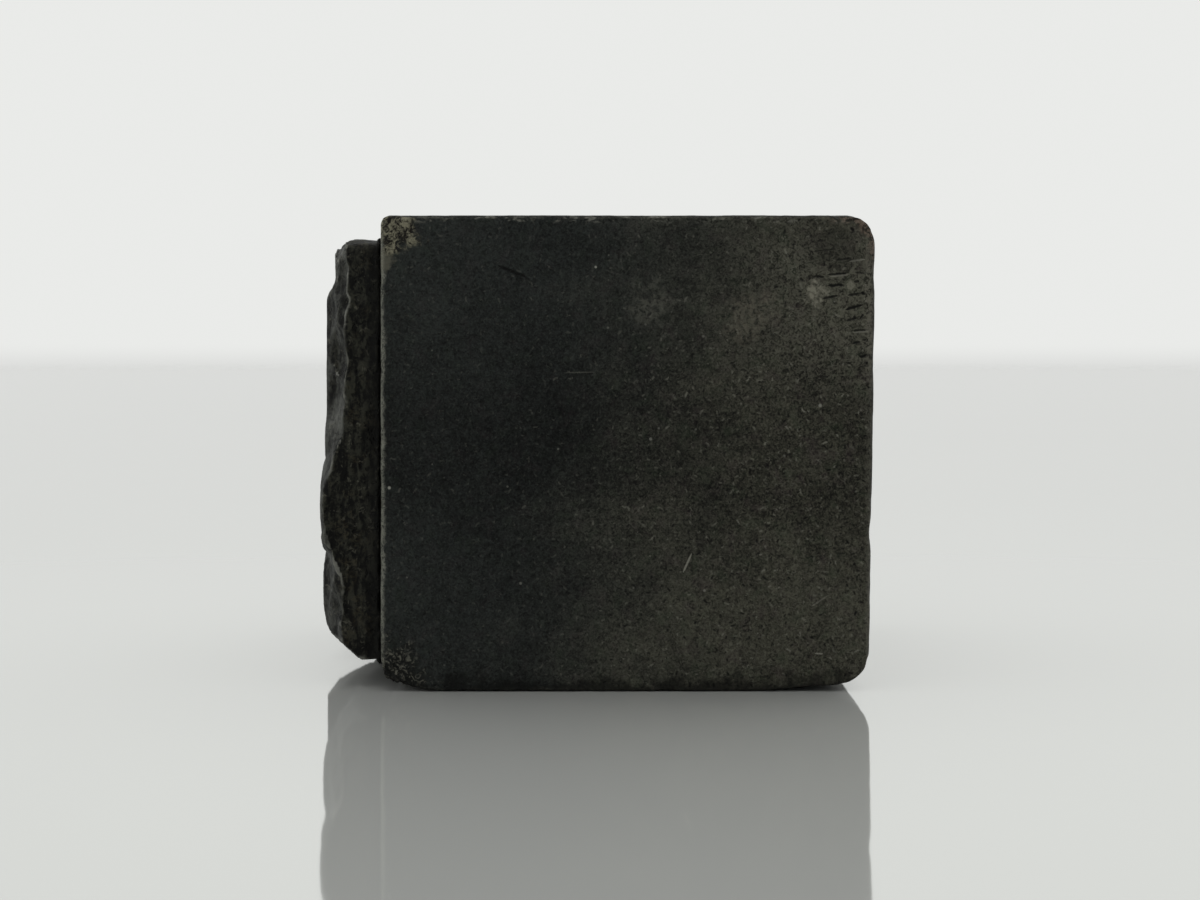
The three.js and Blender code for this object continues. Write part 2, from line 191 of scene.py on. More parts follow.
class Wire:
    """A socket in a node tree. Arithmetic on wires adds Math nodes to that tree."""

    def __init__(self, tree, socket=None):
        self.tree = tree
        self.socket = socket

    def node(self, kind, settings=None, sockets=None, output=0):
        """Adds a node, with its settings first and then the values or wires of its sockets."""
        made = self.tree.nodes.new(kind)
        for name, value in (settings or {}).items():
            setattr(made, name, value)
        for name, value in (sockets or {}).items():
            socket = shown_socket(made.inputs, name)
            if isinstance(value, Wire):
                self.tree.links.new(value.socket, socket)
            else:
                socket.default_value = value
        return Wire(self.tree, shown_socket(made.outputs, output))

    def math(self, operation, first, second=None):
        values = {0: first}
        if second is not None:
            values[1] = second
        return self.node("ShaderNodeMath", {"operation": operation}, values)

    def __add__(self, other):
        return self.math("ADD", self, other)

    def __sub__(self, other):
        return self.math("SUBTRACT", self, other)

    def __mul__(self, other):
        return self.math("MULTIPLY", self, other)

    def __truediv__(self, other):
        return self.math("DIVIDE", self, other)

    def __rsub__(self, other):
        return self.math("SUBTRACT", other, self)

    def __abs__(self):
        return self.math("ABSOLUTE", self)

    def root(self):
        return self.math("SQRT", self)

    def sign(self):
        return self.math("SIGN", self)

    def above(self, level):
        """1 where this is more than the level, and 0 elsewhere."""
        return self.math("GREATER_THAN", self, level)

    def lesser(self, other):
        return self.math("MINIMUM", self, other)

    def greater(self, other):
        return self.math("MAXIMUM", self, other)

    def ramp(self, start, end):
        """Rises smoothly from 0 at start to 1 at end. Start may be the larger."""
        values = {"Value": self, "From Min": start, "From Max": end}
        return self.node("ShaderNodeMapRange", {"interpolation_type": "SMOOTHSTEP"}, values)

    def parts(self):
        """The x, y and z of a vector."""
        split = self.node("ShaderNodeSeparateXYZ", None, {0: self})
        return [Wire(self.tree, each) for each in split.socket.node.outputs]

    def vector(self, x, y, z):
        return self.node("ShaderNodeCombineXYZ", None, {0: x, 1: y, 2: z})

    def vector_math(self, operation, sockets=None, output=0):
        values = {0: self, **(sockets or {})}
        return self.node("ShaderNodeVectorMath", {"operation": operation}, values, output)

    def scaled(self, factor):
        """A vector times one number, or times a number for each of its directions."""
        if isinstance(factor, tuple):
            return self.vector_math("MULTIPLY", {1: factor})
        return self.vector_math("SCALE", {"Scale": factor})

    def shifted(self, offset):
        return self.vector_math("ADD", {1: offset})

    def away_from(self, other):
        return self.vector_math("SUBTRACT", {1: other})

    def along(self, other):
        """How far this vector reaches along another one of length 1."""
        return self.vector_math("DOT_PRODUCT", {1: other}, "Value")

    def length(self):
        return self.vector_math("LENGTH", output="Value")

    def drifted(self, seed):
        """The same place moved far along, so that each seed reads another part of a pattern."""
        if isinstance(seed, Wire):
            return self.shifted(self.vector(seed * 17.3, seed * 31.7, seed * 7.9))
        return self.shifted((seed * 17.3, seed * 31.7, seed * 7.9))

    def noise(self, scale, detail=2.0, roughness=0.5, distortion=0.0, seed=0.0):
        values = {
            "Vector": self.drifted(seed),
            "Scale": scale,
            "Detail": detail,
            "Roughness": roughness,
            "Distortion": distortion,
        }
        return self.node("ShaderNodeTexNoise", None, values)

    def cells(self, scale, randomness=1.0, seed=0.0):
        """Distance to the nearest of many scattered points, and that point's own random number."""
        values = {"Vector": self.drifted(seed), "Scale": scale, "Randomness": randomness}
        distance = self.node("ShaderNodeTexVoronoi", None, values)
        colour = Wire(self.tree, distance.socket.node.outputs["Color"])
        return distance, colour.parts()[0]

    def moved(self, offset):
        """A mesh with each of its points moved by its own offset."""
        return self.node("GeometryNodeSetPosition", None, {"Geometry": self, "Offset": offset})

    def tint(self, base, other):
        """Mixes two colours, with this wire as the share of the second."""
        values = {"Factor": self, "A": base, "B": other}
        return self.node("ShaderNodeMix", {"data_type": "RGBA"}, values)

    def between(self, low, high):
        """Mixes two numbers, with this wire as the share of the second."""
        values = {"Factor": self, "A": low, "B": high}
        return self.node("ShaderNodeMix", {"data_type": "FLOAT"}, values)


def srgb(red, green, blue):
    """A colour given as it looks on a screen, from 0 to 255, as linear light."""
    made = []
    for value in (red, green, blue):
        share = value / 255
        made.append(share / 12.92 if share <= 0.04045 else ((share + 0.055) / 1.055) ** 2.4)
    return (*made, 1.0)


# Colours of the block, as they look on a screen
BLUE_BLACK = srgb(5, 6, 6)
BLUE_GREY = srgb(62, 66, 64)
BROWN_BLACK = srgb(17, 16, 13)
BROWN_GREY = srgb(104, 103, 90)
RUDDY_GREY = srgb(86, 72, 76)
GREENISH_GREY = srgb(62, 78, 58)
PALE_FLECK = srgb(126, 125, 113)
PALE_STROKE = srgb(140, 139, 128)
SOOT = srgb(8, 8, 7)
HAMMERED_STEEL = srgb(128, 126, 116)
BRIGHT_GRAIN = srgb(176, 176, 166)
JAW_RUBBED_STEEL = srgb(120, 118, 106)
SCRATCHED_STEEL = srgb(170, 168, 156)
BROWN_SPOT = srgb(130, 124, 110)
GREY_SPOT = srgb(112, 112, 102)
PALE_SPOT = srgb(156, 153, 138)
RUBBED_EDGE = srgb(118, 116, 104)
DIE_EDGE_HIGHLIGHT = srgb(134, 135, 125)
STRUCK_EDGE_WEAR_AND_HIGHLIGHT = srgb(122, 119, 108)
STRUCK_RIM = srgb(12, 11, 10)
FLAKED_STEEL = srgb(138, 137, 128)
YELLOW_CRUST_HOLLOW = srgb(24, 19, 15)
YELLOW_CRUST = srgb(150, 146, 125)
RUDDY_CRUST_HOLLOW = srgb(20, 15, 12)
RUDDY_CRUST = srgb(126, 110, 98)
FOOT_CRUST_HOLLOW = srgb(15, 13, 11)
FOOT_CRUST = srgb(132, 130, 118)
EDGE_PATCH = srgb(124, 121, 106)
DARK_PATCH = srgb(20, 20, 18)

# Colours of the die, the braze and the dowels
WALL_BLACK = srgb(4, 4, 3)
WALL_BROWN = srgb(54, 54, 46)
RUST = srgb(70, 62, 44)
SLOPE_BLACK = srgb(18, 18, 17)
SLOPE_GREY = srgb(80, 81, 77)
PAINTED_FACET_LIGHT = srgb(112, 113, 108)
DIE_FLECK = srgb(120, 118, 105)
SEAM_SHADE = srgb(5, 5, 4)
RIDGE_WEAR_AND_HIGHLIGHT = srgb(142, 142, 134)
DARK_HOLLOW = srgb(6, 6, 5)
WORN_LAND = srgb(120, 119, 111)
DARK_BRAZE = srgb(24, 20, 15)
YELLOW_BRAZE = srgb(60, 50, 34)
BRAZE_TARNISH = srgb(14, 12, 10)
DOWEL_GREY = srgb(128, 130, 132)
DOWEL_BRIGHT = srgb(166, 167, 166)


def greatest(wires):
    return functools.reduce(Wire.greater, wires)


def marks_box(node):
    """A node's lowest and highest corners in millimetres, from the origin of the marks."""
    low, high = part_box(node)
    return low / MM - MARKS_ORIGIN, high / MM - MARKS_ORIGIN


# Pieces made with geometry nodes


def socket_kind(value):
    """The kind of input that takes a value like this one."""
    if isinstance(value, bpy.types.Material):
        return "NodeSocketMaterial"
    if isinstance(value, (Vector, tuple)):
        return "NodeSocketVector"
    return "NodeSocketInt" if isinstance(value, int) else "NodeSocketFloat"


def new_tree(name, values, takes_mesh=False):
    """A geometry node tree with an input for each named value. Gives it and its input wires."""
    tree = bpy.data.node_groups.new(name, "GeometryNodeTree")
    tree.interface.new_socket(name="Mesh", in_out="OUTPUT", socket_type="NodeSocketGeometry")
    kinds = {"Mesh": "NodeSocketGeometry"} if takes_mesh else {}
    for label, value in values.items():
        kinds[label] = socket_kind(value)
    for label, kind in kinds.items():
        tree.interface.new_socket(name=label, in_out="INPUT", socket_type=kind)
    entry = tree.nodes.new("NodeGroupInput")
    return tree, {label: Wire(tree, entry.outputs[label]) for label in kinds}


def end_tree(tree, mesh, finish):
    """Smooth shading, realised instances, the finish, and the tree's output."""
    smooth = mesh.node("GeometryNodeSetShadeSmooth", None, {"Geometry": mesh})
    plain = mesh.node("GeometryNodeRealizeInstances", None, {"Geometry": smooth})
    coated = mesh.node("GeometryNodeSetMaterial", None, {"Geometry": plain, "Material": finish})
    leave = tree.nodes.new("NodeGroupOutput")
    tree.links.new(coated.socket, leave.inputs["Mesh"])


def run_tree(piece, tree, values):
    """Runs a tree on an object with these input values and keeps the result as its plain mesh."""
    modifier = piece.modifiers.new(tree.name, "NODES")
    modifier.node_group = tree
    for item in tree.interface.items_tree:
        if item.in_out == "INPUT" and item.name in values:
            modifier[item.identifier] = values[item.name]
    graph = bpy.context.evaluated_depsgraph_get()
    mesh = bpy.data.meshes.new_from_object(piece.evaluated_get(graph), depsgraph=graph)
    piece.modifiers.clear()
    mesh.name = piece.name
    piece.data = mesh


def add_piece(name, mesh):
    piece = bpy.data.objects.new(name, mesh)
    bpy.context.scene.collection.objects.link(piece)
    return piece


def crowded(share, crowding):
    """Grid lines from -0.5 to 0.5, moved closer together towards both ends."""
    swing = share.math("SINE", share * (2 * math.pi))
    return share + swing * (crowding / (2 * math.pi))


def round_corner(first, second, half_first, half_second, radius):
    """Rounds the corners of a rectangle about zero, moving its grid lines with them."""
    past_first = (abs(first) - (half_first - radius)).greater(0.0)
    past_second = (abs(second) - (half_second - radius)).greater(0.0)
    reach = (past_first * past_first + past_second * past_second).root()
    pull = past_first.greater(past_second) / reach.greater(1e-9) - 1.0
    moved_first = first + first.sign() * past_first * pull
    moved_second = second + second.sign() * past_second * pull
    return moved_first, moved_second


def second_least(first, second, third):
    """The middle one of three numbers: on a box, the distance to the nearest edge."""
    low = first.lesser(second)
    high = first.greater(second)
    return low.greater(high.lesser(third))


def half_sizes(sizes):
    """Half of the block's length, depth and height."""
    return [sizes[name] * 0.5 for name in ("Length", "Depth", "Height")]


def shaped_block(start, sizes):
    """A box grid with rounded edges, a leaning struck end and a foot worn at both ends."""
    half_length, half_depth, half_height = half_sizes(sizes)

    # A plain box grid, its lines crowded towards the edges
    lines = {
        "Vertices X": sizes["Lines along length"],
        "Vertices Y": sizes["Lines along depth"],
        "Vertices Z": sizes["Lines along height"],
    }
    grid = start.node("GeometryNodeMeshCube", None, {"Size": (1, 1, 1), **lines}, "Mesh")
    share_x, share_y, share_z = start.node("GeometryNodeInputPosition").parts()
    x = crowded(share_x, GRID_CROWDING) * sizes["Length"]
    y = crowded(share_y, GRID_CROWDING) * sizes["Depth"]
    z = crowded(share_z, GRID_CROWDING) * sizes["Height"]

    # Rounded edges, each end and corner with its own radius
    at_struck_end = x.above(0.0)
    at_top = z.above(0.0)
    die_end = at_top.between(sizes["Die end lower radius"], sizes["Die end upper radius"])
    struck_end = at_top.between(sizes["Struck end lower radius"], sizes["Struck end upper radius"])
    corner = at_struck_end.between(die_end, struck_end)
    x, z = round_corner(x, z, half_length, half_height, corner)
    side = at_struck_end.between(sizes["Die end side radius"], sizes["Struck end side radius"])
    x, y = round_corner(x, y, half_length, half_depth, side)
    y, z = round_corner(y, z, half_depth, half_height, sizes["Long edge radius"])

    # The struck end is a little out of square, shorter at the bottom
    towards_struck_end = (x / half_length).ramp(-0.2, 1.0)
    towards_bottom = (z / half_height).ramp(0.8, -1.0)
    x = x - sizes["Struck end lean"] * towards_struck_end * towards_bottom

    # The foot is worn away slantwise at both ends
    die_end_lift = (x / half_length).ramp(-0.77, -1.0) * sizes["Die end foot wear"]
    struck_end_lift = (x / half_length).ramp(0.45, 0.95) * sizes["Struck end foot wear"]
    z = z + (die_end_lift + struck_end_lift) * (z / half_height).ramp(-0.7, -1.0)
    shape = {"Geometry": grid, "Position": start.vector(x, y, z)}
    return start.node("GeometryNodeSetPosition", None, shape)


def block_wear(start, sizes):
    """How deep each point is worn: wavy faces, chipped edges, dents, and a crusted corner."""
    place = start.node("GeometryNodeInputPosition").scaled(1 / MM)
    mm_x, mm_y, mm_z = place.parts()
    half_length, half_depth, half_height = half_sizes(sizes)
    gap_x = half_length * (1 / MM) - abs(mm_x)
    gap_y = half_depth * (1 / MM) - abs(mm_y)
    gap_z = half_height * (1 / MM) - abs(mm_z)
    seed = sizes["Seed"]
    wave = place.noise(0.22, seed=seed)
    near_edge = second_least(gap_x, gap_y, gap_z).ramp(0.55, 0.05)
    chip = place.noise(1.1, detail=3.0, roughness=0.6, seed=seed + 1.0).ramp(0.45, 0.75)
    ripple = place.noise(4.0, seed=seed + 2.0)
    chips = near_edge * (chip * 0.8 + ripple * 0.35)
    dent_gap, dent_pick = place.cells(0.38, seed=seed + 3.0)
    dents = dent_gap.ramp(0.3, 0.0) * dent_pick.ramp(0.55, 0.9)
    hammer_gap, hammer_pick = place.cells(0.42, randomness=0.9, seed=seed + 4.0)
    hammered = gap_x.ramp(0.9, 0.1) * mm_x.above(0.0)
    hammer_dents = hammered * hammer_gap.ramp(0.75, 0.0) * hammer_pick.ramp(0.0, 1.0)
    corner_gap = place.away_from(CRUSTED_CORNER_FROM_CENTRE).scaled((1.0, 0.77, 1.0)).length()
    crusted = (corner_gap + place.noise(0.9) * 0.8).ramp(1.9, 0.9)
    lumps = place.noise(3.2, detail=3.0, roughness=0.6, distortion=0.4, seed=seed + 5.0)
    crust = crusted * lumps.ramp(0.35, 0.7)
    return (
        wave * sizes["Face wave depth"]
        + chips * sizes["Edge chip depth"]
        + dents * sizes["Dent depth"]
        + hammer_dents * sizes["Hammer dent depth"]
        + crust * sizes["Crust depth"]
    )


def worn_block_tree(values):
    """A tree that shapes a box and then wears its surface inwards."""
    tree, sizes = new_tree("worn_block", values)
    start = Wire(tree)
    inward = start.node("GeometryNodeInputNormal").scaled(block_wear(start, sizes) * -1.0)
    worn = shaped_block(start, sizes).moved(inward)
    lay = {"Geometry": worn, "Translation": sizes["Centre"]}
    end_tree(tree, start.node("GeometryNodeTransform", None, lay), sizes["Finish"])
    return tree


def make_worn_block(finish):
    low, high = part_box("stamp_block")
    size = high - low
    values = {
        "Length": size.x,
        "Depth": size.y,
        "Height": size.z,
        "Centre": (low + high) / 2,
        **BLOCK_GRID,
        "Long edge radius": LONG_EDGE_RADIUS * MM,
        "Die end side radius": DIE_END_SIDE_RADIUS * MM,
        "Die end upper radius": DIE_END_UPPER_RADIUS * MM,
        "Die end lower radius": DIE_END_LOWER_RADIUS * MM,
        "Struck end side radius": STRUCK_END_SIDE_RADIUS * MM,
        "Struck end upper radius": STRUCK_END_UPPER_RADIUS * MM,
        "Struck end lower radius": STRUCK_END_LOWER_RADIUS * MM,
        "Struck end lean": STRUCK_END_LEAN * MM,
        "Die end foot wear": DIE_END_FOOT_WEAR * MM,
        "Struck end foot wear": STRUCK_END_FOOT_WEAR * MM,
        "Edge chip depth": EDGE_CHIP_DEPTH * MM,
        "Face wave depth": FACE_WAVE_DEPTH * MM,
        "Dent depth": DENT_DEPTH * MM,
        "Hammer dent depth": HAMMER_DENT_DEPTH * MM,
        "Crust depth": CRUST_DEPTH * MM,
        "Seed": BLOCK_SEED,
        "Finish": finish,
    }
    piece = add_piece("worn_block", bpy.data.meshes.new("worn_block"))
    run_tree(piece, worn_block_tree(values), values)
    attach(piece, "root")
    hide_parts("stamp_block")


class DieSurface:
    """What the steps of the die's wear share: places, and what is wall, slope or land."""

    def __init__(self, start, sizes):
        self.sizes = sizes
        self.position = start.node("GeometryNodeInputPosition")
        self.normal = start.node("GeometryNodeInputNormal")
        self.place = self.position.scaled(1 / MM).away_from(MARKS_ORIGIN)
        self.facing, _, self.upright = self.normal.parts()
        x, self.y, _ = self.place.parts()
        self.above_land = x - sizes["Land plane"]
        self.wall = abs(self.facing).ramp(0.75, 0.35)
        self.land = self.above_land.ramp(0.25, 0.1) * abs(self.facing).ramp(0.9, 0.98)
        self.slope = (1.0 - self.wall) * (1.0 - self.land)
        self.rough = self.pattern(3.4, 4.0, distortion=0.4)

    def pattern(self, scale, step, distortion=0.0):
        """Rough noise, another one for each step of the seed."""
        seed = self.sizes["Seed"] + step
        return self.place.noise(scale, detail=3.0, roughness=0.6, distortion=distortion, seed=seed)


def die_wear(die):
    """How far each point moves outwards: swellings, less what was hewn or worn away."""
    place, sizes, seed = die.place, die.sizes, die.sizes["Seed"]
    swollen = greatest([
        place.away_from(centre).length().ramp(radius, radius * 0.3) * (rise * MM)
        for centre, radius, rise in SWELLINGS
    ])
    swollen = swollen * (1.0 - die.wall) * die.above_land.ramp(0.04, 0.25)

    # Walls left by a chisel
    chisel_gap, chisel_pick = place.scaled((1.0, 1.0, 0.5)).cells(0.9, seed=seed + 1.0)
    chiselled = (1.0 - chisel_gap * chisel_gap * 2.0).greater(0.0) * (chisel_pick * 0.6 + 0.4)
    strokes = place.scaled((5.0, 5.0, 0.9)).noise(1.0, seed=seed + 2.0)
    cut = chiselled * 0.5 + strokes * 0.2 + die.rough * 0.3
    wall_sink = die.wall * cut * sizes["Wall depth"]

    # Slopes scooped out with sharp ridges between, but not on the die's back
    scoop_gap, scoop_pick = place.cells(0.5, seed=seed)
    scoops = (1.0 - scoop_gap * scoop_gap * 2.2).greater(0.0) * (scoop_pick * 0.7 + 0.3)
    scooped = die.above_land.ramp(0.15, 0.6) * scoops * 0.6 + die.rough * 0.15
    slope_sink = die.slope * die.facing.ramp(0.6, 0.3) * scooped * sizes["Slope depth"]

    # Lands a little worn, and both ends, the lower one on the near side only
    land_sink = die.land * die.pattern(1.1, 3.0) * sizes["Land depth"]
    upper_sink = die.upright.ramp(0.5, 0.9) * sizes["Upper end wear"]
    lower_sink = die.upright.ramp(-0.5, -0.9) * die.y.ramp(-5.0, -8.6) * sizes["Lower end wear"]
    return swollen - wall_sink - slope_sink - land_sink - upper_sink - lower_sink


def edge_shift(die):
    """How far each point moves along x: wandering edges, and flash pressed out of the seam."""
    place, sizes = die.place, die.sizes
    from_low = place.away_from(sizes["Low corner"]).parts()
    from_high = sizes["High corner"].away_from(place).parts()
    back_gap = from_high[0]
    rim_gap = functools.reduce(Wire.lesser, from_low[1:] + from_high[1:])
    between_planes = die.above_land.ramp(0.3, 0.9) * back_gap.ramp(0.3, 1.0)
    wave = place.noise(0.8, seed=sizes["Seed"] + 5.0) - 0.5
    wander = wave * between_planes * sizes["Edge wander"]
    patches = die.pattern(1.5, 6.0).ramp(0.44, 0.6)
    flash = patches * back_gap.ramp(0.25, 0.05) * rim_gap.ramp(0.42, 0.3) * sizes["Seam flash"]
    return wander + flash


def break_ends(die, mesh):
    """Both ends are broken off slantwise, back to a rough plane."""
    unevenness = (die.rough - 0.5) * (BREAK_ROUGHNESS * MM)
    for end in ("Upper break", "Lower break"):
        facing = die.sizes[end + " facing"]
        past = die.position.away_from(die.sizes[end + " place"]).along(facing) + unevenness
        mesh = mesh.moved(facing.scaled(past.greater(0.0) * -1.0))
    return mesh


def store_for_finish(die, mesh):
    """Stores what the finish reads: how far a point stands out, and what is slope or land."""
    blur = {"Value": die.position, "Iterations": die.sizes["Ridge blur steps"]}
    blurred = mesh.node("GeometryNodeBlurAttribute", {"data_type": "FLOAT_VECTOR"}, blur)
    ridge = die.position.away_from(blurred).along(die.normal) * (1 / MM)
    kept = {RIDGE_ATTRIBUTE: ridge, SLOPE_ATTRIBUTE: die.slope, LAND_ATTRIBUTE: die.land}
    settings = {"data_type": "FLOAT", "domain": "POINT"}
    for name, value in kept.items():
        values = {"Geometry": mesh, "Name": name, "Value": value}
        mesh = mesh.node("GeometryNodeStoreNamedAttribute", settings, values)
    return mesh


def hewn_die_tree(values):
    """A tree that hews and wears the die's own mesh and breaks off its ends."""
    tree, sizes = new_tree("hewn_die", values, takes_mesh=True)
    die = DieSurface(Wire(tree), sizes)
    outward = die.normal.scaled(die_wear(die))
    along_x = outward.vector(edge_shift(die), 0.0, 0.0)
    worn = sizes["Mesh"].moved(outward.shifted(along_x))
    broken = break_ends(die, worn)
    end_tree(tree, store_for_finish(die, broken), sizes["Finish"])
    return tree


def make_hewn_die(finish):
    low, high = marks_box("rosette_die")
    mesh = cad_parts["rosette_die"].data.copy()
    mesh.materials.clear()
    joined = bmesh.new()
    joined.from_mesh(mesh)
    bmesh.ops.remove_doubles(joined, verts=joined.verts, dist=1e-7)
    joined.to_mesh(mesh)
    joined.free()
    piece = add_piece("hewn_die", mesh)
    remesh = piece.modifiers.new("fine_grid", "REMESH")
    remesh.mode = "VOXEL"
    remesh.voxel_size = DIE_VOXEL * MM
    values = {
        "Wall depth": HEWN_WALL_DEPTH * MM,
        "Slope depth": HEWN_SLOPE_DEPTH * MM,
        "Upper end wear": UPPER_END_WEAR * MM,
        "Lower end wear": LOWER_END_WEAR * MM,
        "Land depth": LAND_WEAR_DEPTH * MM,
        "Edge wander": EDGE_WANDER * MM,
        "Land plane": high.x - ROSETTE_HEIGHT,
        "Low corner": low,
        "High corner": high,
        "Seam flash": SEAM_FLASH * MM,
        "Upper break place": (Vector(UPPER_BREAK_PLACE) + MARKS_ORIGIN) * MM,
        "Upper break facing": UPPER_BREAK_FACING,
        "Lower break place": (Vector(LOWER_BREAK_PLACE) + MARKS_ORIGIN) * MM,
        "Lower break facing": LOWER_BREAK_FACING,
        "Ridge blur steps": RIDGE_BLUR_STEPS,
        "Seed": DIE_SEED,
        "Finish": finish,
    }
    run_tree(piece, hewn_die_tree(values), values)
    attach(piece, "root")
    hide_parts("rosette_die")


# Finishes


def new_finish(name):
    """A material with an empty tree, and each point's place from the origin of the marks."""
    material = bpy.data.materials.new(name)
    material.use_nodes = True
    material.node_tree.nodes.clear()
    start = Wire(material.node_tree)
    place = start.node("ShaderNodeTexCoord", None, None, "Object").scaled(1 / MM)
    return material, place.away_from(MARKS_ORIGIN)


def end_finish(material, place, colour, roughness, height, metallic, bump_depth, gloss=0.5):
    """Joins colour, roughness, metal share and height to a surface shader. Gloss 0.5 is plain."""
    relief = {"Strength": 1.0, "Distance": bump_depth * MM, "Height": height}
    bump = place.node("ShaderNodeBump", None, relief)
    values = {
        "Base Color": colour,
        "Roughness": roughness,
        "Metallic": metallic,
        "Specular IOR Level": gloss,
        "Normal": bump,
    }
    shader = place.node("ShaderNodeBsdfPrincipled", None, values)
    leave = material.node_tree.nodes.new("ShaderNodeOutputMaterial")
    material.node_tree.links.new(shader.socket, leave.inputs["Surface"])
    return material


def spot(place, centre, radius, ragged, scale, seed):
    """A ragged round patch on the surface, 1 inside and 0 outside."""
    ragged_edge = place.noise(scale, detail=3.0, roughness=0.6, seed=seed) - 0.5
    far = place.away_from(centre).length() + ragged_edge * (2 * ragged * radius)
    return far.ramp(radius, radius * 0.45)


def stroke(x, z, first, last, width):
    """A thin tapering line on the near face, between two points given as x and height."""
    run = math.hypot(last[0] - first[0], last[1] - first[1])
    along_x = (last[0] - first[0]) / run
    along_z = (last[1] - first[1]) / run
    middle_x = (first[0] + last[0]) / 2
    middle_z = (first[1] + last[1]) / 2
    along = abs((x - middle_x) * along_x + (z - middle_z) * along_z)
    across = abs((z - middle_z) * along_x - (x - middle_x) * along_z)
    taper = along.ramp(run * 0.65, run * 0.3)
    return (across / (taper * width + 0.001)).ramp(1.0, 0.3) * taper.ramp(0.0, 0.2)


def strokes_of(x, z, marks):
    """Several strokes as one, each with its own strength."""
    return greatest([
        stroke(x, z, first, last, width) * strength for first, last, width, strength in marks
    ])


def dashes(x, z, scale, half_length, width, seed):
    """Short bent strokes in random directions on a face, one in each of many cells."""
    flat = x.vector(x, z, 0.0).drifted(seed)
    values = {"Vector": flat, "Scale": scale, "Randomness": 1.0}
    cell = flat.node("ShaderNodeTexVoronoi", {"voronoi_dimensions": "2D"}, values, "Position")
    turn, strength, bend = Wire(flat.tree, cell.socket.node.outputs["Color"]).parts()
    from_x, from_z, _ = flat.away_from(cell).parts()
    along_x = turn.math("COSINE", turn * math.pi)
    along_z = turn.math("SINE", turn * math.pi)
    along = from_x * along_x + from_z * along_z
    across = from_z * along_x - from_x * along_z + (bend - 0.5) * along * along * 4.0
    drawn = abs(along).ramp(half_length, half_length * 0.4) * abs(across).ramp(width, width * 0.3)
    return drawn * strength * strength * strength


def outline_gap(x, z, low, high):
    """Distance in from the block's outline as seen from the side, with its rounded corners."""
    middle_x = (low.x + high.x) / 2
    middle_z = (low.z + high.z) / 2
    at_struck_end = x.above(middle_x)
    at_top = z.above(middle_z)
    die_end = at_top.between(DIE_END_LOWER_RADIUS, DIE_END_UPPER_RADIUS)
    struck_end = at_top.between(STRUCK_END_LOWER_RADIUS, STRUCK_END_UPPER_RADIUS)
    radius = at_struck_end.between(die_end, struck_end)
    past_x = abs(x - middle_x) - (high.x - middle_x) + radius
    past_z = abs(z - middle_z) - (high.z - middle_z) + radius
    round_x = past_x.greater(0.0)
    round_z = past_z.greater(0.0)
    reach = (round_x * round_x + round_z * round_z).root()
    return radius - reach - past_x.greater(past_z).lesser(0.0)


def near_spot(face, at, radius, ragged, scale, seed):
    """A ragged round patch on the block's near face, at a place given as x and height."""
    return spot(face.place, (at[0], face.low.y, at[1]), radius, ragged, scale, seed)


class BlockFace:
    """What the steps of the block's finish share: places, gaps to the edges, grain and warmth."""

    def __init__(self, place):
        self.place = place
        self.low, self.high = marks_box("stamp_block")
        self.x, self.y, self.z = place.parts()
        self.depth_gap = (self.y - self.low.y).lesser(self.high.y - self.y)
        self.side_gap = outline_gap(self.x, self.z, self.low, self.high)
        self.near_face = self.y.ramp(self.low.y + 0.9, self.low.y + 0.5)
        self.cloud = place.noise(0.2, detail=3.0, roughness=0.6, distortion=0.5)
        self.mottle = place.noise(0.6, detail=4.0, roughness=0.55, distortion=0.5, seed=1.0)
        self.grain = place.noise(6.0, detail=2.0, roughness=0.6, distortion=1.2, seed=2.0)
        self.speckle = place.noise(11.0, detail=2.0, roughness=0.6, distortion=0.8, seed=3.0)
        self.rub = place.noise(1.8, detail=4.0, roughness=0.68, seed=9.0)
        drift = (self.cloud - 0.5) * 9.0 + (self.mottle - 0.5) * 4.0
        self.warm = (self.x - self.z * 0.22 + drift).ramp(-6.5, 7.0)


def block_patina(face):
    """Blue black towards the die, warm brown grey towards the struck end and the foot."""
    waist = abs(face.z - (face.low.z + face.high.z) / 2).ramp(6.5, 1.0) * 0.16
    rough = (face.grain - 0.5) * 1.25 + (face.speckle - 0.5) * 0.9
    soft = (face.mottle - 0.5) * 0.3 + (face.cloud - 0.5) * 0.4
    shade = (rough * (face.warm * 0.15 + 0.85) + soft + 0.46 - waist).ramp(-0.1, 1.1)
    cold = shade.tint(BLUE_BLACK, BLUE_GREY)
    brown = shade.tint(BROWN_BLACK, BROWN_GREY)
    colour = face.warm.tint(cold, brown)
    hue = face.place.noise(1.3, detail=3.0, roughness=0.6, distortion=0.4, seed=5.0)
    hue_share = face.warm * 0.12 + 0.06
    colour = (hue.ramp(0.52, 0.7) * hue_share).tint(colour, RUDDY_GREY)
    return (hue.ramp(0.48, 0.3) * hue_share).tint(colour, GREENISH_GREY)


def pale_specks(face):
    """Single bright grains on the near face, and sparse ones on all faces."""
    specks = []
    for (x, z), radius, share in PALE_SPECKS:
        far = face.place.away_from((x, face.low.y, z)).scaled((1.0, 0.2, 1.0)).length()
        specks.append(far.ramp(radius, radius * 0.4) * share)
    gap, pick = face.place.cells(1.9, seed=8.0)
    specks.append(gap.ramp(0.12, 0.06) * pick.ramp(0.85, 0.95) * 0.3)
    return greatest(specks)


